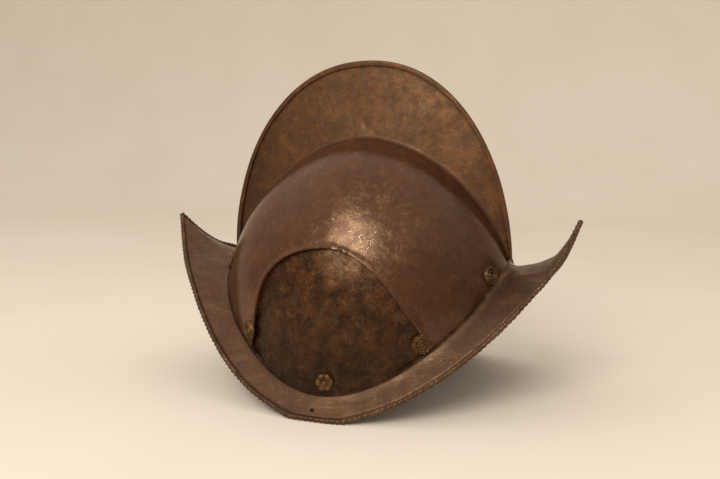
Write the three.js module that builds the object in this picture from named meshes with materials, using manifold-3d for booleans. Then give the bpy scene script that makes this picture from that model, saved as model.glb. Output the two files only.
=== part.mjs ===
// Comb morion: an open steel helmet with a tall hollow comb and a boat-shaped brim turned up at both ends.
// It is made in a right and a left half. Two crown halves meet along the middle, the left one's comb edge
// folded over the right one's. Two brim halves meet at the peaks, each with a collar that stands up inside
// the crown and shows through an arched window. Ten rosette rivets hold crown and brim together.
//
// Millimetres, +Z up. The helmet stands on the two low sides of its brim at z = 0 and faces +X, so its left
// side is +Y. The origin is under the middle of its bounding box.

import * as THREE from 'three';
import { mergeVertices } from 'three/addons/utils/BufferGeometryUtils.js';
import Module from 'manifold-3d';

const wasm = await Module();
wasm.setup();

// ---------------------------------------------------------------- driving dimensions

const GAP = 0.3; // between neighbouring pieces
const STATIONS = 28; // steps along each half of the helmet, and half of the steps round the brim

const SKULL_ROWS = 9; // steps from the comb's root down to the crown's edge

const CROWN_PLATE = 1.3;
const COLLAR_PLATE = 1.1;
const BRIM_PLATE = 1.3;

// The skull is a dome whose plan is a slightly pointed oval, on walls that drop straight from springHeight.
const SKULL = { halfLength: 125.5, halfWidth: 104.5, springHeight: 60, rise: 143.5, endPower: 1 / 0.9 };

// Where the skull would meet the brim: low at the sides, high at both ends.
const JUNCTION = { low: 15.7, frontHigh: 102.1, backHigh: 102.6, power: 2.19 };
const FILLET_RISE = 3.2; // the crown's lower edge stands this far above that line
const FILLET_REACH = 7.5; // and the brim is straight from this far beyond it

// The comb's crest in the middle plane is a flattened oval arch.
const CREST = {
  top: 266.2,
  front: { reach: 120.4, foot: 102.1, start: 0.022 },
  back: { reach: 126, foot: 103.4, start: 0 },
  reachPower: 2 / 2.166,
  risePower: 2 / 1.964,
};
const COMB_ROOT = { halfWidth: 9, endHalfWidth: 2.4, frontAngle: 0.345, backAngle: 0.36 };
const COMB_FILLET = 4;
const FOLD_DEPTH = 4.2; // how far the folded strip reaches down the right side of the comb
const CREST_DROP = 1.8; // the right half's edge lies this far below the crest, inside the fold

// The brim's outer edge on the right side, from the front peak's tip to the back peak's tip.
const BRIM_EDGE = [
  [173.5, 0.15, 140],
  [158, 26.6, 104.3],
  [145, 50.2, 87.1],
  [120, 71, 58.8],
  [90, 91.8, 33.5],
  [60, 106, 15],
  [30, 114.6, 3],
  [18, 117.2, 0.2],
  [-18, 117.2, 0.2],
  [-30, 114.6, 3],
  [-60, 106, 15],
  [-90, 91.8, 33.5],
  [-120, 71, 58.8],
  [-145, 50.2, 87.1],
  [-165, 26.6, 104.3],
  [-184, 0.15, 138],
];
const EDGE_BEAD = 2; // radius of the turned edge
const PEAK_FOLD = { frontSag: 14, frontAt: 0.677, backSag: 7.6, angle: Math.PI / 12 };
// The back peak is bent: its left side stands higher than its right.
const BENT_PEAK = { lift: 10, x: -148, spread: 22 };
const BRIM_HOLE = { x: -3.6, y: -112.3, radius: 1.5 };

// The collar inside the crown: a band above the junction, rising behind each arched window.
const COLLAR = { band: 14, top: 133, spread: 90, slack: 0.8, rows: 6 };

// The arched window in each side of the crown, as x and z in side view, from its back foot to its front foot.
const ARCH = [
  [-69, 25],
  [-66.5, 42],
  [-63.6, 54],
  [-61.9, 62.6],
  [-58.6, 78.3],
  [-54.5, 91.7],
  [-48, 102.9],
  [-36.4, 113.2],
  [-21.7, 120],
  [-7.7, 123.1],
  [5.8, 123.6],
  [18.9, 119.9],
  [33.9, 110.3],
  [46.3, 97.6],
  [58.1, 81.4],
  [69.2, 64.8],
  [73.4, 55],
  [77.4, 42],
  [80, 25],
];
const LIP = { width: 5, height: 1.7, feetAt: 68 }; // the raised border round the window

// Rosettes on the right side, as x and z in side view. The left side has the same.
const ROSETTES = [
  { name: 'back', x: -111, z: 101.5, lobes: 9, relief: 0.035, onCollar: false },
  { name: 'back_arch', x: -67.8, z: 56.2, lobes: 9, relief: 0.035, onCollar: false },
  { name: 'middle', x: 3.6, z: 26.4, lobes: 6, relief: 0.09, onCollar: true },
  { name: 'front_arch', x: 70.9, z: 55.3, lobes: 9, relief: 0.035, onCollar: false },
  { name: 'front', x: 110.5, z: 99.8, lobes: 9, relief: 0.035, onCollar: false },
];
const ROSETTE_RADIUS = 7.6;
const SHANK = { radius: 1.8, headRadius: 3.4, headHeight: 1.1 };

// ---------------------------------------------------------------- small helpers

const { sin, cos, abs, sign, sqrt, min, max, PI, exp } = Math;
const lerp = THREE.MathUtils.lerp;
const { area } = THREE.ShapeUtils;
const UP = new THREE.Vector3(0, 0, 1);

// A closed geometry from corner points and the triangles or quads between them, with its faces turned out.
function solidFromFaces(points, faces) {
  const index = [];
  for (const [a, b, c, d] of faces) {
    index.push(a, b, c);
    if (d !== undefined) {
      index.push(a, c, d);
    }
  }
  let volume = 0;
  for (let i = 0; i < index.length; i += 3) {
    const [a, b, c] = [points[index[i]], points[index[i + 1]], points[index[i + 2]]];
    volume += a.dot(new THREE.Vector3().crossVectors(b, c));
  }
  if (volume < 0) {
    index.reverse();
  }
  const geometry = new THREE.BufferGeometry();
  geometry.setFromPoints(points);
  geometry.setIndex(index);
  return geometry;
}

// A plate whose two faces are grids of the same size, rows[i][j], closed along all four borders.
function plate(outer, inner) {
  const columns = outer[0].length;
  const points = [...outer.flat(), ...inner.flat()];
  const innerStart = outer.length * columns;
  const at = (i, j) => i * columns + j;
  const quads = [];
  for (let i = 0; i + 1 < outer.length; i += 1) {
    for (let j = 0; j + 1 < columns; j += 1) {
      const corners = [at(i, j), at(i + 1, j), at(i + 1, j + 1), at(i, j + 1)];
      quads.push(corners);
      quads.push(corners.map((n) => n + innerStart).reverse());
    }
    for (const [j, turn] of [[0, false], [columns - 1, true]]) {
      const border = [at(i, j), at(i, j) + innerStart, at(i + 1, j) + innerStart, at(i + 1, j)];
      quads.push(turn ? border.reverse() : border);
    }
  }
  for (let j = 0; j + 1 < columns; j += 1) {
    for (const [i, turn] of [[0, true], [outer.length - 1, false]]) {
      const border = [at(i, j), at(i, j) + innerStart, at(i, j + 1) + innerStart, at(i, j + 1)];
      quads.push(turn ? border.reverse() : border);
    }
  }
  return solidFromFaces(points, quads);
}

// A bar through closed sections of equal length, with a flat cap at each end. flat gives the two
// coordinates in which a section's outline is seen when it is capped.
function loft(sections, flat) {
  const around = sections[0].length;
  const points = sections.flat();
  const faces = [];
  for (let i = 0; i + 1 < sections.length; i += 1) {
    for (let j = 0; j < around; j += 1) {
      const k = (j + 1) % around;
      faces.push([i * around + j, (i + 1) * around + j, (i + 1) * around + k, i * around + k]);
    }
  }
  const end = (sections.length - 1) * around;
  for (const start of [0, end]) {
    const outline = points.slice(start, start + around).map(flat);
    for (const corners of THREE.ShapeUtils.triangulateShape(outline, [])) {
      const sameTurn = area(outline) * area(corners.map((n) => outline[n])) > 0;
      const cap = corners.map((n) => n + start);
      faces.push(sameTurn === (start === 0) ? cap : cap.reverse());
    }
  }
  return solidFromFaces(points, faces);
}

function toManifold(geometry) {
  const bare = geometry.clone();
  bare.deleteAttribute('normal');
  bare.deleteAttribute('uv');
  const merged = mergeVertices(bare, 1e-4);
  return new wasm.Manifold(new wasm.Mesh({
    numProp: 3,
    vertProperties: new Float32Array(merged.attributes.position.array),
    triVerts: new Uint32Array(merged.index.array),
  }));
}

function fromManifold(solid) {
  const { vertProperties, triVerts } = solid.getMesh();
  const geometry = new THREE.BufferGeometry();
  geometry.setAttribute('position', new THREE.BufferAttribute(vertProperties, 3));
  geometry.setIndex(new THREE.BufferAttribute(triVerts, 1));
  return geometry;
}

// A quarter turn between two lines that would meet at corner.
function fillet(from, corner, to, steps) {
  return new THREE.QuadraticBezierCurve3(from, corner, to).getPoints(steps);
}

// ---------------------------------------------------------------- the skull's surface, right side

// A point set in from the skull's surface, from its place in side view: u forwards and v upwards, both from
// -1 to 1 across the dome.
function skullPoint(u, v, inset) {
  const across = sqrt(max(0, 1 - u * u - max(0, v) ** 2));
  return new THREE.Vector3(
    (SKULL.halfLength - inset) * sign(u) * abs(u) ** SKULL.endPower,
    -max(GAP / 2, (SKULL.halfWidth - inset) * across),
    SKULL.springHeight + (v > 0 ? SKULL.rise - inset : SKULL.rise) * v,
  );
}

// The same from a turn about the upright axis, 0 at the front and PI at the back, and a height.
function skullAt(turn, height, inset) {
  const above = height > SKULL.springHeight;
  const v = (height - SKULL.springHeight) / (above ? SKULL.rise - inset : SKULL.rise);
  const u = sqrt(max(0, 1 - max(0, v) ** 2)) * cos(turn);
  return skullPoint(u, v, inset);
}

// The same from x and z in side view.
function skullBeside(x, z, inset) {
  const u = sign(x) * min(1, abs(x) / (SKULL.halfLength - inset)) ** (1 / SKULL.endPower);
  return skullPoint(u, (z - SKULL.springHeight) / (SKULL.rise - inset), inset);
}

// The outward direction there.
function skullNormal(x, z) {
  const step = 0.5;
  const here = skullBeside(x, z, 0);
  const along = skullBeside(x + step, z, 0).sub(here);
  const upwards = skullBeside(x, z + step, 0).sub(here);
  const normal = along.cross(upwards).normalize();
  return normal.y > 0 ? normal.negate() : normal;
}

function junctionHeight(turn) {
  const high = cos(turn) > 0 ? JUNCTION.frontHigh : JUNCTION.backHigh;
  return JUNCTION.low + (high - JUNCTION.low) * abs(cos(turn)) ** JUNCTION.power;
}

function crownEdgeHeight(turn) {
  return junctionHeight(turn) + FILLET_RISE;
}

// ---------------------------------------------------------------- crown halves

// The comb's crest, right on the middle plane, for a station from 0 at the front to 1 at the back.
function crestPoint(station) {
  const angle = lerp(CREST.front.start, PI - CREST.back.start, station);
  const end = cos(angle) > 0 ? CREST.front : CREST.back;
  return new THREE.Vector3(
    end.reach * sign(cos(angle)) * abs(cos(angle)) ** CREST.reachPower,
    0,
    end.foot + (CREST.top - end.foot) * sin(angle) ** CREST.risePower,
  );
}

function combRootHalfWidth(station) {
  return lerp(COMB_ROOT.endHalfWidth, COMB_ROOT.halfWidth, sin(PI * station) ** 0.7);
}

// One face of the crown's section at a station: comb wall, root fillet and skull, down to the lower edge.
// wallOffset is how far the comb wall's top stands out from the middle plane, on the half's own side.
function crownFace(station, inset, wallOffset, wallStart) {
  const crest = crestPoint(station);
  const rootHalfWidth = combRootHalfWidth(station) - inset;
  const side = sqrt(1 - (rootHalfWidth / (SKULL.halfWidth - inset)) ** 2);
  const rootAngle = lerp(COMB_ROOT.frontAngle, PI - COMB_ROOT.backAngle, station);
  const root = skullPoint(side * cos(rootAngle), side * sin(rootAngle), inset);

  // The skull from the comb's root down to the crown's edge, straight in side view.
  const turn = PI * station;
  const edgeHeight = crownEdgeHeight(turn);
  const edge = skullAt(turn, edgeHeight, inset);
  const rootU = side * cos(rootAngle);
  const rootV = side * sin(rootAngle);
  const edgeV = (edgeHeight - SKULL.springHeight) / (edgeHeight > SKULL.springHeight ? SKULL.rise - inset : SKULL.rise);
  const edgeU = sqrt(max(0, 1 - max(0, edgeV) ** 2)) * cos(turn);
  const samples = [];
  for (let k = 0; k <= 60; k += 1) {
    const f = (k / 60) ** 2;
    samples.push(skullPoint(lerp(rootU, edgeU, f), lerp(rootV, edgeV, f), inset));
  }
  samples[0] = root;
  samples[60] = edge;
  const skull = new THREE.CatmullRomCurve3(samples);

  // The comb's wall, leaning out from the strip under the crest to the root.
  const depth = crest.distanceTo(new THREE.Vector3(root.x, 0, root.z));
  const wall = (f) => new THREE.Vector3(
    lerp(crest.x, root.x, f),
    -lerp(wallOffset, rootHalfWidth, max(0, (f - wallStart) / (1 - wallStart))),
    lerp(crest.z, root.z, f),
  );
  const small = min(COMB_FILLET, 0.3 * depth, 0.3 * skull.getLength());
  const filletFrom = 1 - small / depth;
  const filletTo = small / skull.getLength();
  const points = [];
  for (let k = 0; k < 4; k += 1) {
    points.push(wall(lerp(wallStart, filletFrom, k / 4)));
  }
  points.push(...fillet(wall(filletFrom), root, skull.getPointAt(filletTo), 3));
  for (let k = 1; k <= SKULL_ROWS; k += 1) {
    points.push(skull.getPointAt(lerp(filletTo, 1, k / SKULL_ROWS)));
  }
  return { crest, depth, wall, points };
}

// Sections of one crown half on the helmet's right side, with or without the fold over its crest.
function crownSection(station, folded) {
  const outerOffset = folded ? 1.5 * CROWN_PLATE + GAP : 0.5 * CROWN_PLATE;
  const innerOffset = outerOffset - CROWN_PLATE;
  const depth = crownFace(station, 0, outerOffset, 0).depth;
  const scale = min(1, depth / 14); // the fold dies away at the comb's two feet
  const wallStart = ((FOLD_DEPTH + 1) * scale) / depth;
  const outerFace = crownFace(station, 0, outerOffset, wallStart);
  const innerFace = crownFace(station, CROWN_PLATE, innerOffset, wallStart);

  // A point down from the crest by a distance and out from the middle plane by an offset.
  const strip = (down, out) => {
    const point = outerFace.wall((down * scale) / depth);
    return new THREE.Vector3(point.x, -out, point.z);
  };
  const top = CROWN_PLATE;
  const outerStrip = folded
    ? [
        strip(FOLD_DEPTH, -outerOffset),
        strip(0.8, -outerOffset),
        strip(0, -outerOffset + 0.9),
        strip(0, outerOffset - 0.9),
        strip(0.8, outerOffset),
      ]
    : [strip(CREST_DROP, outerOffset)];
  const innerStrip = folded
    ? [
        strip(FOLD_DEPTH, -innerOffset),
        strip(top + 0.2, -innerOffset),
        strip(top, -innerOffset + 0.3),
        strip(top, innerOffset - 0.3),
        strip(top + 0.2, innerOffset),
      ]
    : [strip(CREST_DROP, innerOffset)];
  return {
    outer: [...outerStrip, ...outerFace.points],
    inner: [...innerStrip, ...innerFace.points],
  };
}

// The window's outline in side view, smooth, from back to front.
function archCurve() {
  return new THREE.CatmullRomCurve3(ARCH.map(([x, z]) => new THREE.Vector3(x, z, 0)));
}

// The block that cuts the window through the crown's right side.
function archCutter() {
  const outline = archCurve().getSpacedPoints(44).map((p) => new THREE.Vector2(p.x, p.y));
  const first = outline[0];
  const last = outline[outline.length - 1];
  outline.push(new THREE.Vector2(last.x, -20), new THREE.Vector2(first.x, -20));
  const near = 55;
  const block = new THREE.ExtrudeGeometry(new THREE.Shape(outline), { depth: 80, bevelEnabled: false });
  block.rotateX(PI / 2);
  block.translate(0, -near, 0);
  return toManifold(block);
}

// The raised lip along the window's edge. It starts inside the opening, so that the cutter trims it flush.
function archLip() {
  const curve = archCurve();
  const sections = [];
  const count = 40;
  for (let k = 0; k <= count; k += 1) {
    const share = lerp(0.13, 0.86, k / count);
    const place = curve.getPointAt(share);
    const tangent = curve.getTangentAt(share);
    const away = new THREE.Vector2(-tangent.y, tangent.x);
    const fade = min(1, max(0.05, (place.y - LIP.feetAt + 6) / 14));
    const at = (out, height) => {
      const x = place.x + away.x * out;
      const z = place.y + away.y * out;
      return skullBeside(x, z, 0).addScaledVector(skullNormal(x, z), height);
    };
    sections.push([
      at(-2, -CROWN_PLATE / 2),
      at(-2, LIP.height * fade),
      at(1.6, LIP.height * fade),
      at(3.4, 0.6 * LIP.height * fade),
      at(LIP.width, -0.15),
      at(LIP.width, -CROWN_PLATE / 2),
    ]);
  }
  return toManifold(loft(sections, (p) => new THREE.Vector2(p.x, p.y)));
}

// A pin along a rosette's axis, on the right side.
function rivetHole(rosette, radius) {
  const hole = new THREE.CylinderGeometry(radius, radius, 24, 16);
  hole.applyQuaternion(new THREE.Quaternion().setFromUnitVectors(
    new THREE.Vector3(0, 1, 0),
    skullNormal(rosette.x, rosette.z),
  ));
  const centre = skullBeside(rosette.x, rosette.z, 0);
  hole.translate(centre.x, centre.y, centre.z);
  return toManifold(hole);
}

function crownHalf(folded) {
  const sections = [];
  for (let i = 0; i <= STATIONS; i += 1) {
    sections.push(crownSection(i / STATIONS, folded));
  }
  let half = toManifold(plate(sections.map((s) => s.outer), sections.map((s) => s.inner)));
  half = half.add(archLip()).subtract(archCutter());
  for (const rosette of ROSETTES.filter((r) => !r.onCollar)) {
    half = half.subtract(rivetHole(rosette, SHANK.radius + GAP));
  }
  return fromManifold(half);
}

// ---------------------------------------------------------------- brim

function edgeCurve() {
  return new THREE.CatmullRomCurve3(BRIM_EDGE.map(([x, y, z]) => new THREE.Vector3(x, -y, z)));
}

// How far the peak's ridge hangs below the straight line from junction to tip, out along that line.
function ridgeSag(turn, out) {
  const front = max(0, 1 - turn / PEAK_FOLD.angle);
  const back = max(0, 1 - (PI - turn) / PEAK_FOLD.angle);
  const rising = sin((PI / 2) * min(1, out / PEAK_FOLD.frontAt));
  const falling = min(1, (1 - out) / (1 - PEAK_FOLD.frontAt));
  return PEAK_FOLD.frontSag * front * min(rising, falling) + PEAK_FOLD.backSag * back * sin(PI * out ** 0.85);
}

function collarTop(turn) {
  const foot = crownEdgeHeight(turn) + COLLAR.band;
  const x = abs(skullAt(turn, foot, 0).x);
  const share = max(0, cos((PI / 2) * min(1, x / COLLAR.spread) ** 1.5));
  return lerp(foot, COLLAR.top, share);
}

// How much the collar's foot comes out flush with the fillet: fully in the window, not at all under the crown.
function windowShare(turn) {
  const x = abs(skullAt(turn, JUNCTION.low, 0).x);
  return THREE.MathUtils.clamp((62 - x) / 12, 0, 1);
}

// One section of a brim half and its collar, as a closed outline on the right side.
function brimSection(turn, edge, bent) {
  const lowest = crownEdgeHeight(turn) - GAP;
  const collarInset = CROWN_PLATE + COLLAR.slack;
  const topEdge = collarTop(turn);
  const flush = collarInset * windowShare(turn);
  const outerCollar = [];
  const innerCollar = [];
  for (let k = 0; k <= COLLAR.rows; k += 1) {
    const up = 1 - k / COLLAR.rows;
    const height = lerp(lowest + 0.01, topEdge, up);
    const inset = collarInset - flush * (1 - up) ** 6;
    outerCollar.push(skullAt(turn, height, inset));
    innerCollar.push(skullAt(turn, height - (k === COLLAR.rows ? 1 : 0), inset + COLLAR_PLATE));
  }

  const end = edge.getPointAt(turn / PI);
  if (bent) {
    end.z += BENT_PEAK.lift * exp(-(((end.x - BENT_PEAK.x) / BENT_PEAK.spread) ** 2)) * min(1, -end.y / 20);
  }
  const junction = skullAt(turn, junctionHeight(turn) - 1, 0);
  const reach = junction.distanceTo(end);
  const surface = (out) => {
    const point = new THREE.Vector3().lerpVectors(junction, end, out);
    point.z -= ridgeSag(turn, out);
    return point;
  };

  // The turned edge: an eight-sided bead with a level underside.
  const outwards = new THREE.Vector3().subVectors(end, surface(0.9)).normalize();
  const level = new THREE.Vector3(outwards.x, outwards.y, 0).normalize();
  const bead = end.clone().addScaledVector(outwards, -EDGE_BEAD);
  bead.z = max(bead.z, EDGE_BEAD);
  const beadPoints = [112.5, 67.5, 22.5, -22.5, -67.5, -112.5].map((degrees) => {
    const angle = THREE.MathUtils.degToRad(degrees);
    const radius = EDGE_BEAD / cos(PI / 8);
    return bead.clone().addScaledVector(level, radius * cos(angle)).addScaledVector(UP, radius * sin(angle));
  });

  // The upper face from the crown's seat through the fillet to the bead, and the lower face under it.
  const seat = skullAt(turn, lowest - 0.01, 0);
  const filletEnd = FILLET_REACH / reach;
  const upper = fillet(seat, junction, surface(filletEnd), 3);
  const beadStart = 1 - (EDGE_BEAD * 2.6) / reach;
  for (const f of [1 / 3, 2 / 3, 1]) {
    upper.push(surface(lerp(filletEnd, beadStart, f)));
  }
  const around = new THREE.Vector3().crossVectors(UP, level);
  const lower = upper.map((point, k) => {
    const before = upper[max(0, k - 1)];
    const after = upper[min(upper.length - 1, k + 1)];
    const along = new THREE.Vector3().subVectors(after, before);
    const normal = along.cross(around).normalize();
    const below = point.clone().addScaledVector(normal, -BRIM_PLATE);
    if (k === 0) {
      below.z -= 2.4;
    }
    return below;
  });
  const outline = [...outerCollar, ...upper, ...beadPoints, ...lower.reverse(), ...innerCollar.reverse()];
  // At the peaks the section lies in the middle plane, where the two halves meet.
  if (turn === 0 || turn === PI) {
    outline.forEach((point) => point.setY(-GAP / 2));
  }
  return outline;
}

function brimHalf(bent) {
  const edge = edgeCurve();
  const sections = [];
  for (let i = 0; i <= STATIONS; i += 1) {
    const turn = i === STATIONS ? PI : (PI * i) / STATIONS;
    sections.push(brimSection(turn, edge, bent));
  }
  let half = toManifold(loft(sections, (p) => new THREE.Vector2(p.x, p.z)));
  if (!bent) {
    const hole = new THREE.CylinderGeometry(BRIM_HOLE.radius, BRIM_HOLE.radius, 16, 16);
    hole.rotateX(-PI / 4);
    hole.translate(BRIM_HOLE.x, BRIM_HOLE.y, junctionHeight(PI / 2) / 2);
    half = half.subtract(toManifold(hole));
  }
  for (const rosette of ROSETTES) {
    half = half.subtract(rivetHole(rosette, SHANK.radius + GAP));
  }
  return fromManifold(half);
}

// ---------------------------------------------------------------- rosettes

// A rosette with its rivet shank and hammered inner head, turned about +Z with its seat at z = 0.
function rosetteGeometry(rosette) {
  const crown = rosette.onCollar ? COLLAR.slack : CROWN_PLATE + COLLAR.slack;
  const through = crown + COLLAR_PLATE + 2 * GAP + 0.5;
  const R = ROSETTE_RADIUS;
  const profile = [
    [0, -through - SHANK.headHeight],
    [SHANK.headRadius, -through - 0.6 * SHANK.headHeight],
    [SHANK.headRadius, -through],
    [SHANK.radius, -through],
    [SHANK.radius, 0],
    [R, 0],
    [R, 0.9],
    [0.74 * R, 1.6],
    [0.5 * R, 1.2],
    [0.36 * R, 2.6],
    [0, 3.4],
  ].map(([r, z]) => new THREE.Vector2(r, z));
  const geometry = new THREE.LatheGeometry(profile, 18);
  geometry.deleteAttribute('normal');
  geometry.deleteAttribute('uv');
  geometry.rotateX(PI / 2);
  const merged = mergeVertices(geometry, 1e-4);
  const position = merged.attributes.position;
  for (let i = 0; i < position.count; i += 1) {
    const [x, y, z] = [position.getX(i), position.getY(i), position.getZ(i)];
    if (z > -0.01 && Math.hypot(x, y) > 0.6 * R) {
      const lobe = 1 + rosette.relief * cos(rosette.lobes * Math.atan2(y, x));
      position.setXY(i, (x * lobe) / (1 + rosette.relief), (y * lobe) / (1 + rosette.relief));
    }
  }
  return merged;
}

function rosetteMesh(rosette, sideName, material) {
  const mesh = new THREE.Mesh(rosetteGeometry(rosette), material);
  mesh.name = `rosette_${rosette.name}_${sideName}`;
  const normal = skullNormal(rosette.x, rosette.z);
  const seat = skullBeside(rosette.x, rosette.z, 0).addScaledVector(normal, GAP);
  if (sideName === 'left') {
    seat.y = -seat.y;
    normal.y = -normal.y;
  }
  mesh.position.copy(seat);
  mesh.quaternion.setFromUnitVectors(UP, normal);
  return mesh;
}

// ---------------------------------------------------------------- the helmet

function steel(name, color, roughness) {
  return new THREE.MeshStandardMaterial({ name, color, roughness, metalness: 0.9 });
}

function namedMesh(name, geometry, material) {
  const mesh = new THREE.Mesh(geometry, material);
  mesh.name = name;
  return mesh;
}

// The left half is made on the right side and mirrored across the middle plane.
function mirroredGeometry(geometry) {
  const flipped = geometry.clone();
  flipped.scale(1, -1, 1);
  flipped.setIndex([...flipped.index.array].reverse());
  return flipped;
}

const group = new THREE.Group();
group.add(namedMesh('crown_half_right', crownHalf(false), steel('crown', 0x7a5230, 0.4)));
group.add(namedMesh('crown_half_left', mirroredGeometry(crownHalf(true)), steel('crown', 0x7a5230, 0.4)));
group.add(namedMesh('brim_half_right', brimHalf(false), steel('brim', 0x9a7c58, 0.45)));
group.add(namedMesh('brim_half_left', mirroredGeometry(brimHalf(true)), steel('brim', 0x9a7c58, 0.45)));
const rosetteMetal = new THREE.MeshStandardMaterial({ name: 'rosette', color: 0x8c6a35, roughness: 0.4, metalness: 0.9 });
for (const rosette of ROSETTES) {
  for (const sideName of ['right', 'left']) {
    group.add(rosetteMesh(rosette, sideName, rosetteMetal));
  }
}

// Stand the bounding box's middle over the origin.
group.updateMatrixWorld(true);
const box = new THREE.Box3().setFromObject(group, true);
group.position.x = -(box.min.x + box.max.x) / 2;

export default group;
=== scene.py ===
# Comb morion: finely modelled plates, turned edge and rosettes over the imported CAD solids, with aged steel
# and brass materials. Shapes are worked out in millimetres in the CAD's own frame, before the group's shift
# along X, and turned into metres of the row frame when a mesh is made. Each plate is drawn on the helmet's
# right side, y below zero, and mirrored for the left.

import math

import bmesh
import bpy
import numpy as np
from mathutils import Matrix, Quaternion, Vector, noise


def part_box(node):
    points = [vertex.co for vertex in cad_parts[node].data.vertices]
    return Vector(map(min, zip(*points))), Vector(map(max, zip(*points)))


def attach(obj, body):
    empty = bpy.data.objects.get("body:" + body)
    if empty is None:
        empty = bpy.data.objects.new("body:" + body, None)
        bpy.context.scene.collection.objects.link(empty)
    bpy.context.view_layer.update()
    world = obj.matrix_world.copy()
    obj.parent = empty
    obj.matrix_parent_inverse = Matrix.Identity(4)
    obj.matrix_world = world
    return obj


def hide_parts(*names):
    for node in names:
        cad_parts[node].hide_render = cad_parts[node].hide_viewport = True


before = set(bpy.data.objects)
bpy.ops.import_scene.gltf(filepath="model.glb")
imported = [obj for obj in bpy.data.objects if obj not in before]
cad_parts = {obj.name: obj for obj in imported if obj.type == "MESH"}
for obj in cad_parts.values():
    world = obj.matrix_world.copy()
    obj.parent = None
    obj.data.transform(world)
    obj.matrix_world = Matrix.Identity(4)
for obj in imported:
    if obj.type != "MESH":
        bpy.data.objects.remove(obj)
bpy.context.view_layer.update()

MM = 0.001
PI = math.pi

# ---------------------------------------------------------------- driving dimensions, as in the CAD

GAP = 0.3
CROWN_PLATE = 1.3
COLLAR_PLATE = 1.1
BRIM_PLATE = 1.3

SKULL_LENGTH = 125.5  # half
SKULL_WIDTH = 104.5  # half
SPRING_HEIGHT = 60.0
SKULL_RISE = 143.5
END_POWER = 1 / 0.9

JUNCTION_LOW = 15.7
JUNCTION_FRONT = 102.1
JUNCTION_BACK = 102.6
JUNCTION_POWER = 2.19
FILLET_RISE = 3.2
FILLET_REACH = 7.5

CREST_TOP = 266.2
CREST_FRONT = {"reach": 120.4, "foot": 102.1, "start": 0.022}
CREST_BACK = {"reach": 126.0, "foot": 103.4, "start": 0.0}
REACH_POWER = 2 / 2.166
RISE_POWER = 2 / 1.964
ROOT_HALF_WIDTH = 9.0
ROOT_END_HALF_WIDTH = 2.4
ROOT_FRONT_ANGLE = 0.345
ROOT_BACK_ANGLE = 0.36
COMB_FILLET = 4.0
FOLD_DEPTH = 4.2
CREST_DROP = 1.8

# The brim's outer edge on the right side, from the front peak's tip to the back peak's tip.
BRIM_EDGE = [
    (173.5, 0.15, 140), (158, 26.6, 104.3), (145, 50.2, 87.1), (120, 71, 58.8),
    (90, 91.8, 33.5), (60, 106, 15), (30, 114.6, 3), (18, 117.2, 0.2),
    (-18, 117.2, 0.2), (-30, 114.6, 3), (-60, 106, 15), (-90, 91.8, 33.5),
    (-120, 71, 58.8), (-145, 50.2, 87.1), (-165, 26.6, 104.3), (-184, 0.15, 138),
]
EDGE_BEAD = 2.0
FRONT_SAG = 14.0
FRONT_SAG_AT = 0.677
BACK_SAG = 7.6
PEAK_FOLD_ANGLE = PI / 12
BENT_LIFT = 10.0
BENT_X = -148.0
BENT_SPREAD = 22.0
HOLE_X = -3.6
HOLE_Y = -112.3
HOLE_RADIUS = 1.5

COLLAR_BAND = 14.0
COLLAR_TOP = 133.0
COLLAR_SPREAD = 90.0
COLLAR_SLACK = 0.8

# The arched window, as x and z in side view, from its back foot to its front foot.
ARCH = [
    (-69, 25), (-66.5, 42), (-63.6, 54), (-61.9, 62.6), (-58.6, 78.3), (-54.5, 91.7),
    (-48, 102.9), (-36.4, 113.2), (-21.7, 120), (-7.7, 123.1), (5.8, 123.6), (18.9, 119.9),
    (33.9, 110.3), (46.3, 97.6), (58.1, 81.4), (69.2, 64.8), (73.4, 55), (77.4, 42), (80, 25),
]
LIP_WIDTH = 3.3
LIP_HEIGHT = 1.6
LIP_FEET = 68.0

# name, x, z in side view, and whether it sits on the collar
ROSETTES = [
    ("back", -111, 101.5, False),
    ("back_arch", -67.8, 56.2, False),
    ("middle", 3.6, 26.4, True),
    ("front_arch", 70.9, 55.3, False),
    ("front", 110.5, 99.8, False),
]
ROSETTE_RADIUS = 7.6
SHANK_RADIUS = 1.8
SHANK_HEAD_RADIUS = 3.4
SHANK_HEAD_HEIGHT = 1.1
SHANK_SPARE = 0.5
PETAL_RADIUS = 6.9
PETAL_BOSS = 3.0

# ---------------------------------------------------------------- mesh fineness

CROWN_STATIONS = 220
WALL_ROWS = 26
COMB_FILLET_ROWS = 7
SKULL_ROWS = 104
BRIM_STATIONS = 260
COLLAR_ROWS = 44
BRIM_FILLET_ROWS = 8
BRIM_ROWS = 16
EDGE_STATIONS = 1500
EDGE_SIDES = 14
PLATE_CREASE = 38  # degrees past which an edge is shown sharp
EDGE_CREASE = 50
ROSETTE_CREASE = 32

# ---------------------------------------------------------------- small helpers


def mix(a, b, share):
    return a + (b - a) * share


def smoothstep(low, high, value):
    share = np.clip((value - low) / (high - low), 0, 1)
    return share * share * (3 - 2 * share)


def noise_at(points, size, seed):
    """Smooth noise from about -1 to 1 at each point, with features of that size in millimetres."""
    shift = Vector((seed * 7.13, seed * 3.71, seed * 5.37))
    return np.array([noise.noise(Vector(p) / size + shift) for p in points])


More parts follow.
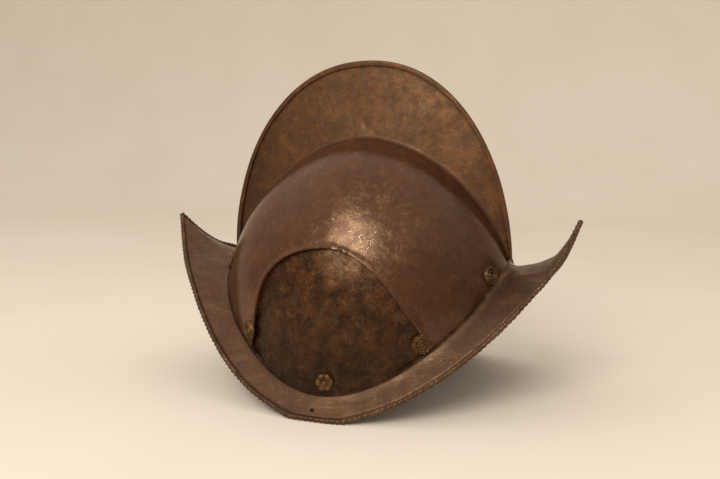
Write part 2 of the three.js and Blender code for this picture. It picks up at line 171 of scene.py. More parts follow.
def along_curve(points, shares):
    """Points at shares of the length of a centripetal Catmull-Rom curve through the given points."""
    p = np.array(points, float)
    p = np.vstack([2 * p[0] - p[1], p, 2 * p[-1] - p[-2]])
    dense = []
    steps = np.linspace(0, 1, 120, endpoint=False)[:, None]
    for before, start, end, after in zip(p, p[1:], p[2:], p[3:]):
        d0, d1, d2 = (
            np.sqrt(np.linalg.norm(b - a)) for a, b in ((before, start), (start, end), (end, after))
        )
        leave = ((start - before) / d0 - (end - before) / (d0 + d1) + (end - start) / d1) * d1
        arrive = ((end - start) / d1 - (after - start) / (d1 + d2) + (after - end) / d2) * d1
        square = -3 * start + 3 * end - 2 * leave - arrive
        cube = 2 * start - 2 * end + leave + arrive
        dense.append(start + leave * steps + square * steps**2 + cube * steps**3)
    dense.append(p[-2][None, :])
    return resample(np.vstack(dense), shares)


def resample(line, shares):
    """Points at shares of the length of a polyline."""
    lengths = np.concatenate([[0], np.cumsum(np.linalg.norm(np.diff(line, axis=0), axis=1))])
    wanted = np.asarray(shares) * lengths[-1]
    return np.stack([np.interp(wanted, lengths, line[:, i]) for i in range(line.shape[1])], -1)


def bezier(start, corner, end, steps):
    t = np.linspace(0, 1, steps + 1)[:, None]
    return (1 - t) ** 2 * start + 2 * t * (1 - t) * corner + t * t * end


# ---------------------------------------------------------------- the skull's surface, right side


def skull_point(u, v, inset):
    u, v = np.broadcast_arrays(np.asarray(u, float), np.asarray(v, float))
    across = np.sqrt(np.clip(1 - u * u - np.maximum(0, v) ** 2, 0, None))
    x = (SKULL_LENGTH - inset) * np.sign(u) * np.abs(u) ** END_POWER
    y = -np.maximum(GAP / 2, (SKULL_WIDTH - inset) * across)
    z = SPRING_HEIGHT + np.where(v > 0, SKULL_RISE - inset, SKULL_RISE) * v
    return np.stack([x, y, z], -1)


def skull_at(turn, height, inset):
    """From a turn about the upright axis, 0 at the front and PI at the back, and a height."""
    height = np.asarray(height, float)
    v = (height - SPRING_HEIGHT) / np.where(height > SPRING_HEIGHT, SKULL_RISE - inset, SKULL_RISE)
    u = np.sqrt(np.clip(1 - np.maximum(0, v) ** 2, 0, None)) * np.cos(turn)
    return skull_point(u, v, inset)


def skull_beside(x, z, inset):
    """From x and z in side view."""
    x = np.asarray(x, float)
    u = np.sign(x) * np.minimum(1, np.abs(x) / (SKULL_LENGTH - inset)) ** (1 / END_POWER)
    return skull_point(u, (np.asarray(z, float) - SPRING_HEIGHT) / (SKULL_RISE - inset), inset)


def skull_normal(x, z):
    step = 0.5
    here = skull_beside(x, z, 0)
    along = skull_beside(x + step, z, 0) - here
    upwards = skull_beside(x, z + step, 0) - here
    normal = np.cross(along, upwards)
    normal /= np.linalg.norm(normal, axis=-1, keepdims=True)
    return normal * -np.sign(normal[..., 1:2])


def junction_height(turn):
    high = JUNCTION_FRONT if math.cos(turn) > 0 else JUNCTION_BACK
    return JUNCTION_LOW + (high - JUNCTION_LOW) * abs(math.cos(turn)) ** JUNCTION_POWER


def crown_edge_height(turn):
    return junction_height(turn) + FILLET_RISE


# ---------------------------------------------------------------- the plates' hand-made unevenness

SKULL_WAVES = ((52, 0.5, 1), (21, 0.16, 2), (8, 0.04, 3))  # size, height, seed
COMB_WAVES = ((48, 0.75, 4), (19, 0.28, 5), (7, 0.05, 6))
BRIM_WAVES = ((44, 0.55, 7), (17, 0.22, 8), (7, 0.05, 9))


def waves(points, layers):
    return sum(height * noise_at(points, size, seed) for size, height, seed in layers)


def skull_shift(points):
    """How far the skull and collar are beaten in or out, away from the helmet's middle."""
    level = np.zeros(len(points))
    rise = np.maximum(0, points[:, 2] - SPRING_HEIGHT)
    away = points * (1, 1, 0) + np.stack([level, level, rise], -1)
    away /= np.linalg.norm(away, axis=1, keepdims=True)
    return away * waves(points, SKULL_WAVES)[:, None]


COMB_DENTS = [  # place in side view, length and width, turn, depth
    ((0.5, 214.5), (2.2, 3.2), 0.3, 0.75),
    ((11, 206), (8, 0.9), -0.72, 0.55),
]


def comb_shift(points):
    """The same for the comb's two walls, which lean together, with the old dent low on its middle."""
    flat = points * (1, 0, 1)
    side = waves(flat, COMB_WAVES)
    for (x, z), (length, width), turn, depth in COMB_DENTS:
        along = (points[:, 0] - x) * math.cos(turn) + (points[:, 2] - z) * math.sin(turn)
        across = (points[:, 2] - z) * math.cos(turn) - (points[:, 0] - x) * math.sin(turn)
        side = side + depth * np.exp(-((along / length) ** 2) - (across / width) ** 2)
    return np.stack([0 * side, side, 0 * side], -1)


def brim_shift(points):
    rise = waves(points * (1, 1, 0), BRIM_WAVES)
    return np.stack([0 * rise, 0 * rise, rise], -1)


# ---------------------------------------------------------------- turning grids into meshes


def grid_bmesh(outer, inner, shares):
    """A sheet from a grid of outer points. Each vertex also carries its place on the plate's inner face
    and the named shares."""
    rows, columns = outer.shape[:2]
    bm = bmesh.new()
    inner_layer = bm.verts.layers.float_vector.new("inner")
    layers = {name: bm.verts.layers.float.new(name) for name in shares}
    verts = []
    for i in range(rows):
        for j in range(columns):
            vert = bm.verts.new(outer[i, j])
            vert[inner_layer] = inner[i, j]
            for name, layer in layers.items():
                vert[layer] = shares[name][j]
            verts.append(vert)
    for i in range(rows - 1):
        for j in range(columns - 1):
            corners = (i * columns + j, (i + 1) * columns + j, (i + 1) * columns + j + 1, i * columns + j + 1)
            bm.faces.new([verts[n] for n in corners])
    return bm


def cut_away(bm, distance, band, cuts, snap, remake):
    """Cuts out the part of a sheet where distance is below zero, along a clean line. The sheet is first
    made finer within band of that line, vertices within snap of it move onto it, and remake puts new ones
    back on the surface."""
    bm.verts.ensure_lookup_table()
    points = np.array([v.co for v in bm.verts])
    near = np.abs(distance(points)) < band
    fine = [e for e in bm.edges if near[e.verts[0].index] and near[e.verts[1].index]]
    bmesh.ops.subdivide_edges(bm, edges=fine, cuts=cuts, use_grid_fill=True)
    bm.verts.index_update()
    bm.verts.ensure_lookup_table()
    points = np.array([v.co for v in bm.verts])
    away = distance(points)
    step = 0.05
    for i in np.nonzero(np.abs(away) < snap)[0]:
        around = np.array([points[i] + side * step * axis for axis in np.eye(3) for side in (1, -1)])
        d = distance(around)
        slope = (d[0::2] - d[1::2]) / (2 * step)
        points[i] -= away[i] * slope / max(1e-6, slope @ slope)
        away[i] = 0
        bm.verts[i].co = points[i]
    on_line = {bm.verts[i] for i in np.nonzero(away == 0)[0]}
    sides = {v: away[v.index] for v in bm.verts}
    for edge in list(bm.edges):
        a, b = edge.verts
        if sides[a] * sides[b] < 0:
            _, fresh = bmesh.utils.edge_split(edge, a, sides[a] / (sides[a] - sides[b]))
            sides[fresh] = 0
            on_line.add(fresh)
    for face in list(bm.faces):
        marks = [v for v in face.verts if v in on_line]
        if len(marks) == 2 and not bm.edges.get(marks):
            bmesh.utils.face_split(face, *marks)
    centres = np.array([f.calc_center_median() for f in bm.faces])
    inside = distance(centres) < 0
    bmesh.ops.delete(bm, geom=[f for f, gone in zip(list(bm.faces), inside) if gone], context="FACES")
    remake(bm)


def sheet_arrays(bm, names):
    bm.verts.index_update()
    inner_layer = bm.verts.layers.float_vector["inner"]
    outer = np.array([v.co for v in bm.verts])
    inner = np.array([v[inner_layer] for v in bm.verts])
    shares = {}
    for name in names:
        layer = bm.verts.layers.float[name]
        shares[name] = np.array([v[layer] for v in bm.verts])
    faces = [[v.index for v in f.verts] for f in bm.faces]
    rims = []
    for edge in bm.edges:
        if len(edge.link_loops) == 1:
            loop = edge.link_loops[0]
            rims.append((loop.link_loop_next.vert.index, loop.vert.index))
    bm.free()
    return outer, inner, shares, faces, rims


def make_object(name, points, faces, materials, face_materials, sharp_degrees=PLATE_CREASE):
    mesh = bpy.data.meshes.new(name)
    placed = (points + (SHIFT_X, 0, 0)) * MM
    mesh.from_pydata(placed.tolist(), [], faces)
    for material in materials:
        mesh.materials.append(material)
    mesh.polygons.foreach_set("material_index", np.array(face_materials, np.int32))
    mesh.polygons.foreach_set("use_smooth", np.ones(len(faces), bool))
    mesh.set_sharp_from_angle(angle=math.radians(sharp_degrees))
    mesh.update()
    obj = bpy.data.objects.new(name, mesh)
    bpy.context.scene.collection.objects.link(obj)
    return obj


def make_plate(name, outer, inner, faces, rims, materials, face_materials, mirrored):
    """A closed plate between a sheet's outer and inner points. The last material is the inside's."""
    count = len(outer)
    back = [[n + count for n in reversed(face)] for face in faces]
    border = [(b, a, a + count, b + count) for b, a in rims]
    points = np.vstack([outer, inner])
    every = [list(f) for f in [*faces, *back, *border]]
    inside = len(materials) - 1
    indices = list(face_materials) + [inside] * len(back) + [face_materials[0]] * len(border)
    if mirrored:
        points = points * (1, -1, 1)
    else:
        every = [face[::-1] for face in every]
    return make_object(name, points, every, materials, indices)


# ---------------------------------------------------------------- crown halves


def crest_point(station):
    angle = mix(CREST_FRONT["start"], PI - CREST_BACK["start"], station)
    end = CREST_FRONT if math.cos(angle) > 0 else CREST_BACK
    reach = end["reach"] * math.copysign(abs(math.cos(angle)) ** REACH_POWER, math.cos(angle))
    return np.array([reach, 0, end["foot"] + (CREST_TOP - end["foot"]) * math.sin(angle) ** RISE_POWER])


def comb_root_half_width(station):
    return mix(ROOT_END_HALF_WIDTH, ROOT_HALF_WIDTH, max(0, math.sin(PI * station)) ** 0.7)


def crown_face(station, inset, wall_offset, wall_start):
    """One face of the crown's section: comb wall, root fillet and skull, down to the lower edge."""
    crest = crest_point(station)
    root_half = comb_root_half_width(station) - inset
    side = math.sqrt(1 - (root_half / (SKULL_WIDTH - inset)) ** 2)
    root_angle = mix(ROOT_FRONT_ANGLE, PI - ROOT_BACK_ANGLE, station)
    root_u, root_v = side * math.cos(root_angle), side * math.sin(root_angle)
    root = skull_point(root_u, root_v, inset)
    turn = PI * station
    edge_height = crown_edge_height(turn)
    rise = SKULL_RISE - inset if edge_height > SPRING_HEIGHT else SKULL_RISE
    edge_v = (edge_height - SPRING_HEIGHT) / rise
    edge_u = math.sqrt(max(0, 1 - max(0, edge_v) ** 2)) * math.cos(turn)
    share = np.linspace(0, 1, 160) ** 2
    skull = skull_point(mix(root_u, edge_u, share), mix(root_v, edge_v, share), inset)
    skull_length = np.linalg.norm(np.diff(skull, axis=0), axis=1).sum()
    depth = math.hypot(crest[0] - root[0], crest[2] - root[2])

    def wall(f):
        f = np.asarray(f, float)
        lean = np.maximum(0, (f - wall_start) / (1 - wall_start))
        x = mix(crest[0], root[0], f)
        y = -mix(wall_offset, root_half, lean)
        z = mix(crest[2], root[2], f)
        return np.stack([x, y, z], -1)

    small = min(COMB_FILLET, 0.3 * depth, 0.3 * skull_length)
    rows = [wall(mix(wall_start, 1 - small / depth, np.arange(WALL_ROWS) / WALL_ROWS))]
    skull_start = resample(skull, [small / skull_length])[0]
    rows.append(bezier(wall(1 - small / depth), root, skull_start, COMB_FILLET_ROWS))
    rows.append(resample(skull, mix(small / skull_length, 1, np.arange(1, SKULL_ROWS + 1) / SKULL_ROWS)))
    return depth, wall, np.vstack(rows)


# The folded strip over the crest, as depth below it and share of the way out to the strip's face.
FOLD_PATH = [
    (1, -0.86), (0.93, -1), (0.6, -1.05), (0.32, -1), (0.2, -0.94), (0.09, -0.8), (0.02, -0.55),
    (0, -0.3), (0, 0), (0, 0.3), (0.02, 0.55), (0.09, 0.8), (0.2, 0.94), (0.32, 1),
]

FOLD_WAVER = 0.16  # how much the strip's depth wanders, slowly and in nicks, and how far it is squeezed
FOLD_NICKS = 0.07
FOLD_SQUEEZE = 0.1


def crown_grids(folded):
    outer_offset = 1.5 * CROWN_PLATE + GAP if folded else 0.5 * CROWN_PLATE
    inner_offset = outer_offset - CROWN_PLATE
    outer, inner = [], []
    for i in range(CROWN_STATIONS + 1):
        station = i / CROWN_STATIONS
        depth = crown_face(station, 0, outer_offset, 0)[0]
        scale = min(1, depth / 14)
        wall_start = (FOLD_DEPTH + 1) * scale / depth
        _, wall, outer_face = crown_face(station, 0, outer_offset, wall_start)
        inner_face = crown_face(station, CROWN_PLATE, inner_offset, wall_start)[2]

        def strip(down, out):
            point = wall(down * scale / depth)
            point[1] = -out
            return point

        if folded:
            broad = noise.noise(Vector((station * 14, 3.3, 0)))
            fine = noise.noise(Vector((station * 60, 8, 0)))
            strip_depth = FOLD_DEPTH * (1 + FOLD_WAVER * broad + FOLD_NICKS * fine)
            squeeze = 1 + FOLD_SQUEEZE * noise.noise(Vector((station * 22, 0, 5)))
            outer_strip = [
                strip(strip_depth * d, outer_offset * o * (squeeze if o < 0 else 1)) for d, o in FOLD_PATH
            ]
            hollow = strip_depth - CROWN_PLATE
            inner_strip = [strip(CROWN_PLATE + hollow * d, inner_offset * o) for d, o in FOLD_PATH]
        else:
            outer_strip = [strip(CREST_DROP, outer_offset)]
            inner_strip = [strip(CREST_DROP, inner_offset)]
        outer.append(np.vstack([outer_strip, outer_face]))
        inner.append(np.vstack([inner_strip, inner_face]))
    return np.array(outer), np.array(inner), len(outer_strip)


ARCH_LINE = None


def arch_distance(points):
    """How far a point lies outside the window's outline in side view, below zero inside it."""
    flat = points[:, [0, 2]]
    away = np.full(len(flat), 1e9)
    for start, end in zip(ARCH_LINE, ARCH_LINE[1:]):
        along = end - start
        share = np.clip((flat - start) @ along / (along @ along), 0, 1)
        away = np.minimum(away, np.linalg.norm(flat - start - share[:, None] * along, axis=1))
    inside = np.zeros(len(flat), bool)
    for (x1, z1), (x2, z2) in zip(ARCH_LINE, ARCH_LINE[1:]):
        between = (flat[:, 0] >= min(x1, x2)) & (flat[:, 0] < max(x1, x2))
        inside |= between & (flat[:, 1] < mix(z1, z2, (flat[:, 0] - x1) / (x2 - x1)))
    return np.where(inside, -away, away)


def back_on_skull(bm):
    """Puts the vertices round the window back on the skull's two faces."""
    inner_layer = bm.verts.layers.float_vector["inner"]
    bm.verts.index_update()
    points = np.array([v.co for v in bm.verts])
    near = np.nonzero(np.abs(arch_distance(points)) < 9)[0]
    bm.verts.ensure_lookup_table()
    x, z = points[near, 0], points[near, 2]
    outer, inner = skull_beside(x, z, 0), skull_beside(x, z, CROWN_PLATE)
    for n, out, inn in zip(near, outer, inner):
        bm.verts[n].co = out
        bm.verts[n][inner_layer] = inn


def lip_height(away, height):
    """The raised border round the window: nearly level next to the opening, then falling to the skull."""
    share = np.clip(away / LIP_WIDTH, 0, 1)
    body = 1 - smoothstep(0.42, 1.0, share)
    turned = 0.82 + 0.18 * smoothstep(0, 0.22, share)
    fade = np.clip((height - LIP_FEET + 30) / 30, 0.05, 1)
    return LIP_HEIGHT * body * turned * fade


def crown_half(name, folded, materials):
    outer, inner, strip_rows = crown_grids(folded)
    columns = outer.shape[1]
    row = np.arange(columns)
    first_skull = strip_rows + WALL_ROWS + COMB_FILLET_ROWS // 2
    comb = np.where(row < first_skull, 1.0, 0.0)
    fade = np.clip(np.abs(row - first_skull) / 9, 0, 1)
    bm = grid_bmesh(outer, inner, {"comb": comb, "fade": fade})
    cut_away(bm, arch_distance, 7.5, 3, 0.12, back_on_skull)
    outer, inner, shares, faces, rims = sheet_arrays(bm, ("comb", "fade"))

    away = arch_distance(outer)
    lip = (away < LIP_WIDTH) & (shares["comb"] < 0.5)
    heights = lip_height(away[lip], outer[lip, 2])
    outer[lip] += skull_normal(outer[lip, 0], outer[lip, 2]) * heights[:, None]

    on_comb = shares["comb"][:, None] > 0.5
    beaten = np.where(on_comb, comb_shift(outer), skull_shift(outer)) * shares["fade"][:, None]
    if folded:
        beaten[:, 1] *= np.where(on_comb[:, 0], -1, 1)
    outer, inner = outer + beaten, inner + beaten
    face_materials = [0 if shares["comb"][face].mean() > 0.5 else 1 for face in faces]
    return make_plate(name, outer, inner, faces, rims, materials, face_materials, folded)


# ---------------------------------------------------------------- brim halves


def ridge_sag(turn, out):
    front = max(0, 1 - turn / PEAK_FOLD_ANGLE)
    back = max(0, 1 - (PI - turn) / PEAK_FOLD_ANGLE)
    rising = np.sin(PI / 2 * np.minimum(1, out / FRONT_SAG_AT))
    falling = np.minimum(1, (1 - out) / (1 - FRONT_SAG_AT))
    back_shape = np.sin(PI * np.clip(out, 0, 1) ** 0.85)
    return FRONT_SAG * front * np.minimum(rising, falling) + BACK_SAG * back * back_shape


def collar_top(turn):
    foot = crown_edge_height(turn) + COLLAR_BAND
    x = abs(float(skull_at(turn, foot, 0)[0]))
    return mix(foot, COLLAR_TOP, max(0, math.cos(PI / 2 * min(1, x / COLLAR_SPREAD) ** 1.5)))


def window_share(turn):
    x = abs(float(skull_at(turn, JUNCTION_LOW, 0)[0]))
    return min(1, max(0, (62 - x) / 12))


def brim_end(end, bent):
    """A point of the brim's outer edge, with the bent peak's lift."""
    end = np.array(end)
    if bent:
        end[2] += BENT_LIFT * math.exp(-(((end[0] - BENT_X) / BENT_SPREAD) ** 2)) * min(1, -end[1] / 20)
    return end


def brim_surface(turn, end, out):
    junction = skull_at(turn, junction_height(turn) - 1, 0)
    points = junction + (end - junction) * np.asarray(out)[:, None]
    points[:, 2] -= ridge_sag(turn, np.asarray(out))
    return points


def bead_centre(turn, end):
    inward = end - brim_surface(turn, end, [0.9])[0]
    inward /= np.linalg.norm(inward)
    centre = end - inward * EDGE_BEAD
    centre[2] = max(centre[2], EDGE_BEAD)
    return centre, inward


# The last stretch of the brim before its turned edge, as distance from the edge and depth below the plate:
# a filed channel runs along the bead.
CHANNEL = [
    (11, 0), (8.5, 0), (7, 0), (6, 0.02), (5.5, 0.12), (5.15, 0.45), (4.8, 0.62), (4.4, 0.45), (4, 0.2),
    (3, 0.2), (2.2, 0.3),
]


def brim_grids(bent):
    shares = np.linspace(0, 1, BRIM_STATIONS + 1)
    ends = along_curve([(x, -y, z) for x, y, z in BRIM_EDGE], shares)
    up = 1 - np.linspace(0, 1, COLLAR_ROWS + 1) ** 1.15
    outer, inner = [], []
    for share, end in zip(shares, ends):
        turn = PI * share
        lowest = crown_edge_height(turn) - GAP
        inset = CROWN_PLATE + COLLAR_SLACK
        flush = inset * window_share(turn)
        outer_rows, inner_rows = [], []
        heights = mix(lowest + 0.01, collar_top(turn), up)
        for height, k in zip(heights, up):
            here = inset - flush * (1 - k) ** 6
            outer_rows.append(skull_at(turn, height, here))
            inner_rows.append(skull_at(turn, height, here + COLLAR_PLATE))

        end = brim_end(end, bent)
        junction = skull_at(turn, junction_height(turn) - 1, 0)
        reach = np.linalg.norm(end - junction)
        seat = skull_at(turn, lowest - 0.01, 0)
        fillet_end = FILLET_REACH / reach
        fillet = bezier(seat, junction, brim_surface(turn, end, [fillet_end])[0], BRIM_FILLET_ROWS)
        channel_start = 1 - CHANNEL[0][0] / reach
        plain = brim_surface(turn, end, mix(fillet_end, channel_start, np.arange(1, BRIM_ROWS) / BRIM_ROWS))
        rim = brim_surface(turn, end, 1 - np.array([d for d, _ in CHANNEL]) / reach)
        upper = np.vstack([fillet, plain, rim])
        _, outwards = bead_centre(turn, end)
        level = np.array([outwards[0], outwards[1], 0]) / math.hypot(outwards[0], outwards[1])
        around = np.cross((0, 0, 1), level)
        along = np.gradient(upper, axis=0)
        normals = np.cross(along, around)
        normals /= np.linalg.norm(normals, axis=1, keepdims=True)
        normals *= np.where(normals[:, 2:3] < 0, -1, 1) if normals[-1, 2] < 0 else 1
        below = upper - normals * BRIM_PLATE
        upper[-len(CHANNEL):] -= normals[-len(CHANNEL):] * np.array([[d] for _, d in CHANNEL])
        below[0, 2] -= 2.4
        outer_rows = np.vstack([outer_rows, upper])
        inner_rows = np.vstack([inner_rows, below])
        if share in (0, 1):
            outer_rows[:, 1] = -GAP / 2
            inner_rows[:, 1] = -GAP / 2
        outer.append(outer_rows)
        inner.append(inner_rows)
    return np.array(outer), np.array(inner)


def hole_distance(points):
    """Distance from the small hole's leaning axis, less its radius."""
    start = np.array([HOLE_X, HOLE_Y, junction_height(PI / 2) / 2])
    axis = np.array([0, -1, 1]) / math.sqrt(2)
    offset = points - start
    return np.linalg.norm(offset - (offset @ axis)[:, None] * axis, axis=1) - HOLE_RADIUS


def brim_half(name, bent, materials):
    outer, inner = brim_grids(bent)
    row = np.arange(outer.shape[1])
    out = np.clip((row - COLLAR_ROWS - 4) / 9, 0, 1)
    bm = grid_bmesh(outer, inner, {"out": out})
    if not bent:
        cut_away(bm, hole_distance, 3, 7, 0.045, lambda sheet: None)
    outer, inner, shares, faces, rims = sheet_arrays(bm, ("out",))
    brim = shares["out"][:, None]
    beaten = skull_shift(outer) * (1 - brim) + brim_shift(outer) * brim
    outer, inner = outer + beaten, inner + beaten
    inner[:, 2] = np.maximum(inner[:, 2], 0.3)
    face_materials = [0 if shares["out"][face].mean() > 0.02 else 1 for face in faces]
    return make_plate(name, outer, inner, faces, rims, materials, face_materials, bent)


# ---------------------------------------------------------------- the turned and filed edge

EDGE_PITCH = 4.3
NOTCH_DEPTH = 1.0


def brim_edge_half(name, bent, material):
    shares = np.linspace(0, 1, EDGE_STATIONS + 1)
    ends = along_curve([(x, -y, z) for x, y, z in BRIM_EDGE], shares)
    ends = [brim_end(end, bent) for end in ends]
    centres, outwards = zip(*(bead_centre(PI * share, end) for share, end in zip(shares, ends)))
    centres, outwards = np.array(centres), np.array(outwards)
    centres = centres + brim_shift(centres)
    travelled = np.concatenate([[0], np.cumsum(np.linalg.norm(np.diff(centres, axis=0), axis=1))])
    along = np.gradient(centres, axis=0)
    along /= np.linalg.norm(along, axis=1, keepdims=True)
    upwards = np.cross(outwards, along)
    upwards /= np.linalg.norm(upwards, axis=1, keepdims=True)
    upwards *= np.sign(upwards[:, 2:3])
    away_from_brim = outwards
    outwards = np.cross(along, upwards)
    outwards *= np.sign(np.sum(outwards * away_from_brim, axis=1))[:, None]

    spots = np.stack([travelled, 0 * travelled, 0 * travelled], -1)
    seed = 30 if bent else 20
    drift = 1.7 * noise_at(spots, 23, seed) + 0.5 * noise_at(spots, 7, seed + 5)
    worn = np.clip(0.75 + 0.75 * noise_at(spots, 16, seed + 1), 0.15, 1.25)
    swell = 1 + 0.07 * noise_at(spots, 9, seed + 2) + 0.04 * noise_at(spots, 3, seed + 3)
    rings = []
    for k in range(EDGE_SIDES):
        angle = 2 * PI * k / EDGE_SIDES
        phase = 2 * PI * (travelled + drift) / EDGE_PITCH + 0.9 * math.sin(angle - 0.4)
        notch = (0.5 + 0.5 * np.cos(phase)) ** 3
        exposed = 0.45 + 0.55 * max(0, math.cos(angle - 0.5))
        chatter = 0.05 * noise_at(spots + (0, angle * 3, 9), 1.6, seed + 4)
        radius = EDGE_BEAD * (swell + chatter) - NOTCH_DEPTH * worn * exposed * notch
        radius = np.minimum(radius, EDGE_BEAD * 1.12)[:, None]
        rings.append(centres + radius * (math.cos(angle) * outwards + math.sin(angle) * upwards))
    rings = np.stack(rings, 1)
    rings[:, :, 2] = np.maximum(rings[:, :, 2], 0)
    rings[:, :, 1] = np.minimum(rings[:, :, 1], -GAP / 2)
    points = rings.reshape(-1, 3)
    faces = []
    for i in range(EDGE_STATIONS):
        for k in range(EDGE_SIDES):
            n = (k + 1) % EDGE_SIDES
            ring, following = i * EDGE_SIDES, (i + 1) * EDGE_SIDES
            faces.append([ring + k, ring + n, following + n, following + k])
    last = EDGE_STATIONS * EDGE_SIDES
    faces.append(list(range(EDGE_SIDES))[::-1])
    faces.append([last + k for k in range(EDGE_SIDES)])
    if bent:
        points = points * (1, -1, 1)
        faces = [face[::-1] for face in faces]
    return make_object(name, points, faces, [material], [0] * len(faces), EDGE_CREASE)


# ---------------------------------------------------------------- rosettes

RINGED = [  # share of the radius and height
    (0.04, 2.35), (0.1, 2.2), (0.15, 1.7), (0.19, 1.15), (0.25, 1.15), (0.3, 1.8), (0.34, 2.45), (0.39, 2.65),
    (0.44, 2.4), (0.48, 1.7), (0.52, 1.15), (0.56, 1.15), (0.6, 1.6), (0.64, 2.15), (0.68, 2.3), (0.72, 2.1),
    (0.76, 1.5), (0.8, 1.0), (0.84, 1.0), (0.88, 1.35), (0.92, 1.5), (0.96, 1.4), (0.99, 1.0),
    (1.0, 0.5), (0.995, 0.05),
]
SCALLOPS = 14
PETALS = 6
ROSETTE_SPOKES = 126


def ringed_point(share, height, angle):
    outer = smoothstep(0.8, 0.9, share)
    wave = math.cos(SCALLOPS * angle)
    radius = share * (1 - outer * 0.03 * (1 - wave))
    return radius, height - outer * 0.3 * (1 - wave) * min(1, height) * 0.8


def petal_point(share, height, angle):
    """Six cupped petals round a boss."""
    wave = abs(math.cos(PETALS / 2 * angle))
    petal = smoothstep(0.34, 0.55, share) * (1 - 0.6 * smoothstep(0.75, 1.0, share))
    boss = 1 - smoothstep(0.16, 0.34, share)
    cup = 0.55 * math.exp(-(((share - 0.66) / 0.13) ** 2)) * smoothstep(0.5, 0.95, wave)
    lift = 0.9 + 2.1 * boss + 1.75 * petal * wave**0.55 - cup
    edge = smoothstep(0.6, 1.0, share)
    radius = share * (1 - edge * 0.16 * (1 - wave**0.7))
    return radius, lift * min(1, height / 0.9)


PETAL_ROWS = [(0.04 * k, 2.0) for k in range(1, 25)] + [(0.99, 0.8), (1.0, 0.45), (0.995, 0.05)]


def rosette_spin(name):
    """A different turn for rosettes whose names differ in length, so that they don't all line up."""
    return 0.13 * len(name)


def rosette_piece(name, x, z, on_collar, left, material):
    if on_collar:
        rows, shape, radius = PETAL_ROWS, petal_point, PETAL_RADIUS
        before_collar = COLLAR_SLACK
    else:
        rows, shape, radius = RINGED, ringed_point, ROSETTE_RADIUS
        before_collar = CROWN_PLATE + COLLAR_SLACK
    through = before_collar + COLLAR_PLATE + 2 * GAP + SHANK_SPARE
    shank = [
        (SHANK_RADIUS, 0), (SHANK_RADIUS, -through), (SHANK_HEAD_RADIUS, -through),
        (SHANK_HEAD_RADIUS * 1.02, -through - 0.3 * SHANK_HEAD_HEIGHT),
        (SHANK_HEAD_RADIUS * 0.86, -through - 0.75 * SHANK_HEAD_HEIGHT),
        (SHANK_HEAD_RADIUS * 0.45, -through - 0.98 * SHANK_HEAD_HEIGHT),
    ]
    normal = skull_normal(np.array([float(x)]), np.array([float(z)]))[0]
    seat = skull_beside(np.array([float(x)]), np.array([float(z)]), 0)
    seat = seat + skull_shift(seat) + normal * GAP
    turned = Vector((0, 0, 1)).rotation_difference(Vector(normal)).to_matrix()
    spin = rosette_spin(name)
    points = [(0, 0, PETAL_BOSS if on_collar else rows[0][1])]
    for share, height in rows:
        for k in range(ROSETTE_SPOKES):
            angle = 2 * PI * k / ROSETTE_SPOKES
            r, h = shape(share, height, angle)
            wear = 0.07 * noise.noise(Vector((3 * r * math.cos(angle), 3 * r * math.sin(angle), x)))
            x_out = r * radius * math.cos(angle + spin)
            y_out = r * radius * math.sin(angle + spin)
            points.append((x_out, y_out, max(0, h + wear)))
    for r, h in shank:
        for k in range(ROSETTE_SPOKES):
            angle = 2 * PI * k / ROSETTE_SPOKES
            points.append((r * math.cos(angle), r * math.sin(angle), h))
    points.append((0, 0, -through - SHANK_HEAD_HEIGHT))
    faces = []
    rings = len(rows) + len(shank)
    for k in range(ROSETTE_SPOKES):
        n = (k + 1) % ROSETTE_SPOKES
        faces.append([0, 1 + k, 1 + n])
        for i in range(rings - 1):
            here = 1 + i * ROSETTE_SPOKES
            faces.append([here + k, here + ROSETTE_SPOKES + k, here + ROSETTE_SPOKES + n, here + n])
        end = 1 + (rings - 1) * ROSETTE_SPOKES
        faces.append([end + k, len(points) - 1, end + n])
    placed = np.array([turned @ Vector(p) for p in points]) + seat
    if left:
        placed = placed * (1, -1, 1)
        faces = [face[::-1] for face in faces]
    return make_object(name, placed, faces, [material], [0] * len(faces), ROSETTE_CREASE)


# ---------------------------------------------------------------- materials


